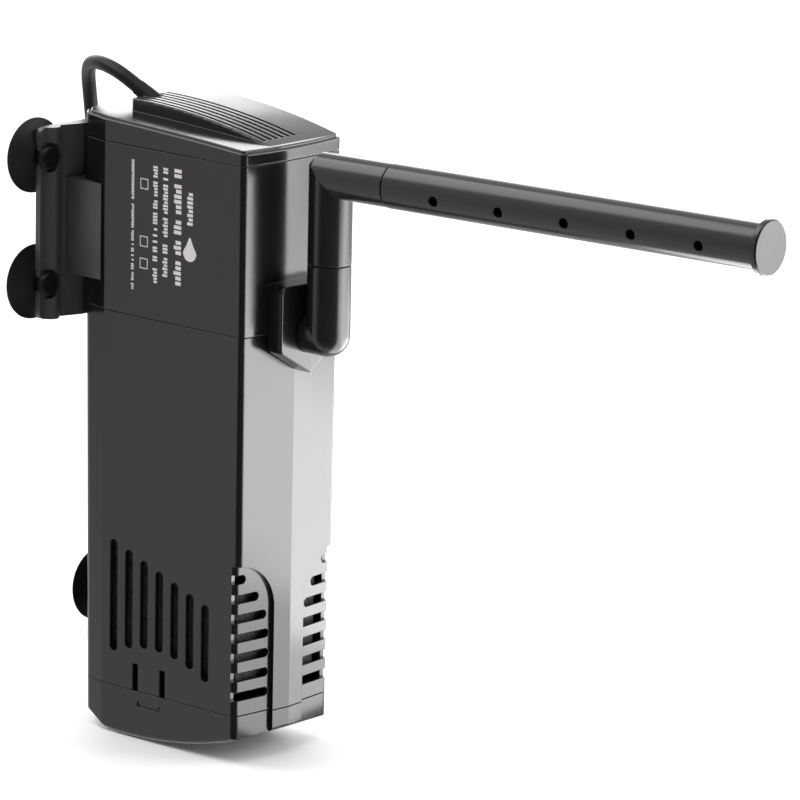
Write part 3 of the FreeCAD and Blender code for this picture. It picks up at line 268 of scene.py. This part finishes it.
BLACK = (0.0072, 0.0062, 0.0065)
shell = moulded("shell_plastic", BLACK, (0.14, 0.19), 0.12)
pipe_black = moulded("pipe_plastic", (0.009, 0.0085, 0.0085), (0.16, 0.22), 0.1)
bracket_black = moulded("bracket_plastic", (0.048, 0.044, 0.045), (0.28, 0.36), 0.14)
rubber = moulded("cup_rubber", (0.007, 0.007, 0.0065), (0.45, 0.55), 0.1, wear=0.1, specular=0.22)
seal = moulded("seal_rubber", (0.014, 0.014, 0.014), (0.4, 0.5), 0.1)
inner_grey = moulded("inner_plastic", (0.06, 0.06, 0.062), (0.35, 0.45), 0.2)
jacket = moulded("cable_jacket", (0.004, 0.0038, 0.0038), (0.38, 0.46), 0.2, 3200.0, specular=0.12)
tie_nylon = moulded("tie_nylon", (0.03, 0.03, 0.03), (0.35, 0.45), 0.2)
plug_black = moulded("plug_plastic", (0.024, 0.024, 0.024), (0.3, 0.4), 0.3, 1800.0)
resin = moulded("potting_resin", (0.02, 0.018, 0.016), (0.12, 0.3), 0.05)
white_plastic = moulded("impeller_plastic", (0.72, 0.72, 0.69), (0.3, 0.4), 0.1)
ceramic = moulded("shaft_ceramic", (0.8, 0.79, 0.75), (0.1, 0.16), 0.02)
ferrite = moulded("ferrite", (0.045, 0.045, 0.05), (0.35, 0.5), 0.4, 1400.0)

MATERIAL_OF = {
    "lid": shell, "pump_housing": shell, "filter_canister": shell, "bottom_cap": shell,
    "latch_tongue_left": shell, "latch_tongue_right": shell,
    "lower_elbow": pipe_black, "upper_elbow": pipe_black,
    "spray_bar": pipe_black, "spray_bar_end_cap": pipe_black,
    "suction_bracket": bracket_black, "outlet_oring": seal, "upper_bush": seal, "lower_bush": inner_grey,
    "inlet_cover": inner_grey, "sponge_retainer": inner_grey,
    "cable_gland": jacket, "cable_tie": tie_nylon,
    "mains_plug": plug_black, "motor_potting": resin, "impeller": white_plastic, "rotor_shaft": ceramic,
    "rotor_magnet": ferrite,
}


METAL_SCALE = 400.0
METAL_BUMP = 0.15


def metal(name, colour, roughness, stretch=None):
    """Plain or wound metal, with marks drawn out along one direction."""
    material, tree, shader = new_material(name)
    shader.inputs["Metallic"].default_value = 1.0
    shader.inputs["Base Color"].default_value = (*colour, 1)
    marks = noise_value(tree, METAL_SCALE, 3.0, stretch)
    tree.links.new(ranged(tree, marks, roughness[0], roughness[1]), shader.inputs["Roughness"])
    bump = add(tree, "ShaderNodeBump", Strength=METAL_BUMP, Distance=BUMP_HEIGHT)
    tree.links.new(marks, bump.inputs["Height"])
    tree.links.new(bump.outputs["Normal"], shader.inputs["Normal"])
    return material


MATERIAL_OF["plug_pins"] = metal("nickel", (0.72, 0.70, 0.66), (0.18, 0.3), (1, 8, 8))
MATERIAL_OF["stator_core"] = metal("core_steel", (0.42, 0.42, 0.43), (0.3, 0.45), (1, 1, 30))
MATERIAL_OF["stator_coils"] = metal("winding_copper", (0.66, 0.33, 0.18), (0.25, 0.4), (30, 30, 1))


def dress(obj, material):
    obj.data.materials.clear()
    obj.data.materials.append(material)


for name, obj in nodes.items():
    dress(obj, MATERIAL_OF.get(name, rubber))
dress(cable, jacket)

# ---- pieces made in mesh code -------------------------------------------------------------------


BOX_FACES = ((0, 1, 3, 2), (4, 6, 7, 5), (0, 4, 5, 1), (2, 3, 7, 6), (0, 2, 6, 4), (1, 5, 7, 3))


def add_box(mesh, low, high):
    corners = []
    for x in (low[0], high[0]):
        for y in (low[1], high[1]):
            for z in (low[2], high[2]):
                corners.append(mesh.verts.new((x, y, z)))
    for face in BOX_FACES:
        mesh.faces.new([corners[index] for index in face])


def mesh_object(name, mesh, material):
    bmesh.ops.recalc_face_normals(mesh, faces=mesh.faces)
    data = bpy.data.meshes.new(name)
    mesh.to_mesh(data)
    mesh.free()
    obj = bpy.data.objects.new(name, data)
    scene.collection.objects.link(obj)
    data.materials.append(material)
    return obj


HALF_WIDTH = 0.0318
SIDE_DRAFT = 0.001
LID_SEAM_Z = 0.272
CAP_SEAM_Z = 0.022


def side_x(z):
    """The left side wall's surface at height z."""
    return -(HALF_WIDTH - SIDE_DRAFT * (LID_SEAM_Z - z) / (LID_SEAM_Z - CAP_SEAM_Z))


INK_T = 0.00006
# each line of marks: its centre y, its upper and lower end, how wide it is, and the length of one mark
MARK_LINES = [
    (-0.0775, 0.2655, 0.2095, 0.0044, 0.0023),
    (-0.0850, 0.2560, 0.2390, 0.0034, 0.0019),
    (-0.0700, 0.2650, 0.2130, 0.0029, 0.0015),
    (-0.0638, 0.2650, 0.2110, 0.0027, 0.0014),
    (-0.0500, 0.2660, 0.2040, 0.0016, 0.0010),
]
DROP_CENTRE = (-0.0850, 0.2290)
DROP_R = 0.0040
DROP_STEPS = 28
# how far the drop's tip reaches past a circle, how sharp it is, and how much its shoulders draw in
DROP_TIP = 0.75
DROP_SHARP = 6
DROP_WAIST = 0.35
SQUARES = [(-0.0570, 0.2560), (-0.0570, 0.2300), (-0.0570, 0.2200)]
SQUARE_REACH = 0.0024
SQUARE_LINE = 0.0004
MARK_GAP_CHANCE = 0.16
MARK_FILL = 0.72
MARK_INSETS = (0.0, 0.0, 0.25)


def drop_outline():
    """The drop's rim as points of y and z, with its tip up."""
    rim = []
    for count in range(DROP_STEPS):
        angle = 2 * math.pi * count / DROP_STEPS
        height = math.cos(angle)
        pull = 1.0 + DROP_TIP * max(0.0, height) ** DROP_SHARP
        waist = 1.0 if height < 0 else 1.0 - DROP_WAIST * height
        y = DROP_CENTRE[0] - DROP_R * math.sin(angle) * waist
        rim.append((y, DROP_CENTRE[1] + DROP_R * pull * height))
    return rim


def add_bar(mesh, y0, y1, z0, z1):
    """One flat mark on the left side wall."""
    x = side_x((z0 + z1) / 2)
    add_box(mesh, (x - INK_T, y0, z0), (x + INK_T, y1, z1))


def add_mark_line(mesh, dice, y, top, bottom, width, step):
    """A line of small bars, with gaps here and there and a shorter bar now and then."""
    z = top
    while z - step > bottom:
        if dice.random() < MARK_GAP_CHANCE:
            z -= step
            continue
        inset = dice.choice(MARK_INSETS) * width
        add_bar(mesh, y - width / 2, y + width / 2 - inset, z - step * MARK_FILL, z)
        z -= step


def make_marks():
    """Plain light marks on the left side: lines of small bars, a drop and three open squares."""
    dice = random.Random(7)
    mesh = bmesh.new()
    for line in MARK_LINES:
        add_mark_line(mesh, dice, *line)
    reach, line = SQUARE_REACH, SQUARE_LINE
    for y, z in SQUARES:
        add_bar(mesh, y - reach, y + reach, z - reach, z - reach + line)
        add_bar(mesh, y - reach, y + reach, z + reach - line, z + reach)
        add_bar(mesh, y - reach, y - reach + line, z - reach + line, z + reach - line)
        add_bar(mesh, y + reach - line, y + reach, z - reach + line, z + reach - line)
    x = side_x(DROP_CENTRE[1])
    rim = drop_outline()
    outer = [mesh.verts.new((x - INK_T, y, z)) for y, z in rim]
    inner = [mesh.verts.new((x + INK_T, y, z)) for y, z in rim]
    mesh.faces.new(outer)
    mesh.faces.new(list(reversed(inner)))
    for a in range(DROP_STEPS):
        b = (a + 1) % DROP_STEPS
        mesh.faces.new((outer[a], outer[b], inner[b], inner[a]))
    marks = mesh_object("side_marks", mesh, ink)
    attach(marks, "filter_head")


TONGUE_Y = (-0.0688, -0.0556)
TONGUE_TOP_Z = 0.0347
SKIN_BELOW = 0.0016
SKIN_ABOVE = 0.0012
SKIN_PROUD = 0.00004
SKIN_T = 0.0005
SKIN_STEPS = 6


def make_hinge_skins():
    """The thin skin that joins each latch tongue to the canister's wall above it."""
    z0, z1 = TONGUE_TOP_Z - SKIN_BELOW, TONGUE_TOP_Z + SKIN_ABOVE
    x_out = abs(side_x(TONGUE_TOP_Z)) + SKIN_PROUD
    x_in = x_out - SKIN_T
    y0, y1 = TONGUE_Y
    for side, name in ((-1, "latch_left"), (1, "latch_right")):
        mesh = bmesh.new()
        rows = []
        for count in range(SKIN_STEPS + 1):
            z = z0 + (z1 - z0) * count / SKIN_STEPS
            ring = [(side * x, y, z) for x, y in ((x_in, y0), (x_out, y0), (x_out, y1), (x_in, y1))]
            rows.append([mesh.verts.new(place) for place in ring])
        for low, high in zip(rows, rows[1:]):
            for a in range(4):
                b = (a + 1) % 4
                mesh.faces.new((low[a], low[b], high[b], high[a]))
        mesh.faces.new(rows[0])
        mesh.faces.new(rows[-1])
        skin = mesh_object("hinge_skin_" + name, mesh, skin_plastic)
        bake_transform(skin)


FOAM_CELLS = 520.0
# how dark the painted shade in the cell hollows is, as a share of the foam's colour
PORE_SHADE = 0.25
FOAM_BUMP = 0.9
FOAM_BUMP_HEIGHT = 0.0006


def make_foam(name, colour):
    """Open-cell foam: rounded cells, rough and dull."""
    material, tree, shader = new_material(name)
    links = tree.links
    where = tree.nodes.new("ShaderNodeTexCoord")
    cells = tree.nodes.new("ShaderNodeTexVoronoi")
    cells.inputs["Scale"].default_value = FOAM_CELLS
    links.new(where.outputs["Object"], cells.inputs["Vector"])
    # painted shade: the foam's colour is darkened towards each cell's centre, where the hollows are
    painted_pore_shade = ranged(tree, cells.outputs["Distance"], 1.0, 0.0, 0.15, 0.65)
    mix = tree.nodes.new("ShaderNodeMix")
    mix.data_type = "RGBA"
    mix.inputs["A"].default_value = (*colour, 1)
    mix.inputs["B"].default_value = (*[value * PORE_SHADE for value in colour], 1)
    links.new(painted_pore_shade, mix.inputs["Factor"])
    links.new(mix.outputs["Result"], shader.inputs["Base Color"])
    links.new(ranged(tree, cells.outputs["Distance"], 0.75, 0.95), shader.inputs["Roughness"])
    bump = add(tree, "ShaderNodeBump", Strength=FOAM_BUMP, Distance=FOAM_BUMP_HEIGHT)
    links.new(cells.outputs["Distance"], bump.inputs["Height"])
    links.new(bump.outputs["Normal"], shader.inputs["Normal"])
    return material


FOAM_VOXEL = 0.0022
FOAM_WAVES = 4
FOAM_SHRINK = 0.0007
FOAM_SAG = 0.0004
FOAM_ROUGH = 0.00025


def make_sponge():
    """The filter sponge: the CAD block remeshed fine, with sagging faces and a rough cut surface."""
    source = nodes["filter_sponge"]
    sponge = bpy.data.objects.new("sponge_foam_block", source.data.copy())
    scene.collection.objects.link(sponge)
    sponge.matrix_world = source.matrix_world.copy()
    remesh = sponge.modifiers.new("remesh", "REMESH")
    remesh.mode = "VOXEL"
    remesh.voxel_size = FOAM_VOXEL
    bpy.context.view_layer.update()
    graph = bpy.context.evaluated_depsgraph_get()
    fine = bpy.data.meshes.new_from_object(sponge.evaluated_get(graph))
    sponge.modifiers.clear()
    sponge.data = fine
    dice = random.Random(11)
    mesh = bmesh.new()
    mesh.from_mesh(fine)
    mesh.normal_update()
    waves = []
    for _ in range(FOAM_WAVES):
        waves.append((dice.uniform(30, 90), dice.uniform(30, 90), dice.uniform(0, 6.28)))
    for vert in mesh.verts:
        place = vert.co
        sag = sum(math.sin(place.z * a + (place.x + place.y) * b + c) for a, b, c in waves) / FOAM_WAVES
        vert.co = place - vert.normal * (FOAM_SHRINK + FOAM_SAG * sag + dice.uniform(0.0, FOAM_ROUGH))
    mesh.to_mesh(fine)
    mesh.free()
    fine.polygons.foreach_set("use_smooth", [True] * len(fine.polygons))
    dress(sponge, foam)
    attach(sponge, "canister")
    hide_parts("filter_sponge")


PLUG_REAR = (0.0895, 0.013, 0.0069)
SLEEVE_RINGS = 4
SLEEVE_FIRST = 0.0012
SLEEVE_PITCH = 0.0021
SLEEVE_R = 0.0046
SLEEVE_FLARE = 0.00022
SLEEVE_STEPS = 32
# one ring's section: how far along the sleeve, and how far out
RING_SECTION = ((-0.0006, 0.0), (-0.0004, 0.0005), (0.0004, 0.0005), (0.0006, 0.0))


def make_sleeve_rings():
    """Flexible rings moulded round the plug's cable sleeve."""
    mesh = bmesh.new()
    for count in range(SLEEVE_RINGS):
        x = PLUG_REAR[0] - SLEEVE_FIRST - SLEEVE_PITCH * count
        rings = []
        for offset, grow in RING_SECTION:
            reach = SLEEVE_R + SLEEVE_FLARE * count + grow
            ring = []
            for step in range(SLEEVE_STEPS):
                angle = 2 * math.pi * step / SLEEVE_STEPS
                y = PLUG_REAR[1] + reach * math.cos(angle)
                z = PLUG_REAR[2] + reach * math.sin(angle)
                ring.append(mesh.verts.new((x + offset, y, z)))
            rings.append(ring)
        rings.append(rings[0])
        for first, second in zip(rings, rings[1:]):
            for a in range(SLEEVE_STEPS):
                b = (a + 1) % SLEEVE_STEPS
                mesh.faces.new((first[a], first[b], second[b], second[a]))
    sleeve_rings = mesh_object("plug_sleeve_rings", mesh, plug_black)
    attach(sleeve_rings, "filter_head")


skin_plastic = moulded("skin_plastic", BLACK, (0.14, 0.19), 0.12, edge=0.00002)
ink = moulded("printing_ink", (0.62, 0.60, 0.60), (0.45, 0.6), 0.2, 3000.0, edge=0.00005, wear=0.0)
foam = make_foam("foam_black", (0.045, 0.045, 0.042))
make_marks()
make_hinge_skins()
make_sponge()
make_sleeve_rings()

# ---- floor, light -------------------------------------------------------------------------------


FLOOR_REACH = 30.0
FLOOR_DROP = 0.0005
FLOOR_WHITE = (0.9, 0.9, 0.9, 1)


def make_floor():
    mesh = bpy.data.meshes.new("floor")
    reach = FLOOR_REACH
    corners = [(-reach, -reach, 0), (reach, -reach, 0), (reach, reach, 0), (-reach, reach, 0)]
    mesh.from_pydata(corners, [], [(0, 1, 2, 3)])
    floor = bpy.data.objects.new("floor", mesh)
    floor.location = (0, 0, -FLOOR_DROP)
    scene.collection.objects.link(floor)
    material, tree, shader = new_material("floor_white")
    shader.inputs["Base Color"].default_value = FLOOR_WHITE
    shader.inputs["Roughness"].default_value = 0.6
    mesh.materials.append(material)
    floor.visible_glossy = False


def area_light(name, place, target, size, radiance):
    """A rectangular softbox of even brightness that faces its target."""
    data = bpy.data.lights.new(name, "AREA")
    data.shape = "RECTANGLE"
    data.size, data.size_y = size
    data.energy = radiance * math.pi * size[0] * size[1]
    light = bpy.data.objects.new(name, data)
    scene.collection.objects.link(light)
    light.location = Vector(place)
    light.rotation_mode = "QUATERNION"
    light.rotation_quaternion = (Vector(target) - Vector(place)).to_track_quat("-Z", "Y")


make_floor()
area_light("softbox_key", (0.80, -0.93, 0.45), (0.0, -0.08, 0.10), (1.0, 0.9), 5.2)
area_light("softbox_low", (0.50, -0.77, 0.002), (0.50, -0.77, 1.0), (1.0, 1.26), 5.0)
area_light("softbox_strip", (0.41, -0.66, 0.003), (0.41, -0.66, 1.0), (0.5, 1.02), 4.2)
area_light("softbox_top", (-0.55, 1.5, 1.8), (0.0, 0.0, 0.1), (1.8, 1.8), 3.0)
area_light("softbox_over", (-0.3, -0.2, 2.6), (0.0, -0.1, 0.0), (2.4, 2.4), 1.4)
area_light("softbox_back", (2.1, 1.78, 0.75), (0.0, -0.06, 0.25), (2.4, 1.2), 2.4)


# direction of each darker side, the brightness away from it and in it, and where it starts and ends
WORLD_SIDES = [
    ((-0.75, -0.66, 0.0), 0.92, 0.08, 0.30, 0.58),
    ((-0.38, 0.92, 0.0), 1.0, 0.45, 0.88, 0.98),
]
WORLD_TINT = (1.0, 0.97, 0.97, 1)


def make_world():
    """A white studio with one dark side and one dim side, so that glossy black faces stay dark there."""
    world = bpy.data.worlds.new("world")
    world.use_nodes = True
    tree = world.node_tree
    where = tree.nodes.new("ShaderNodeTexCoord")
    strength = None
    for direction, bright, dark, start, end in WORLD_SIDES:
        dot = tree.nodes.new("ShaderNodeVectorMath")
        dot.operation = "DOT_PRODUCT"
        dot.inputs[1].default_value = direction
        tree.links.new(where.outputs["Generated"], dot.inputs[0])
        level = ranged(tree, dot.outputs["Value"], bright, dark, start, end)
        if strength is None:
            strength = level
            continue
        product = tree.nodes.new("ShaderNodeMath")
        product.operation = "MULTIPLY"
        tree.links.new(strength, product.inputs[0])
        tree.links.new(level, product.inputs[1])
        strength = product.outputs[0]
    tree.links.new(strength, tree.nodes["Background"].inputs["Strength"])
    tree.nodes["Background"].inputs["Color"].default_value = WORLD_TINT
    scene.world = world


make_world()
scene.view_settings.view_transform = "Standard"
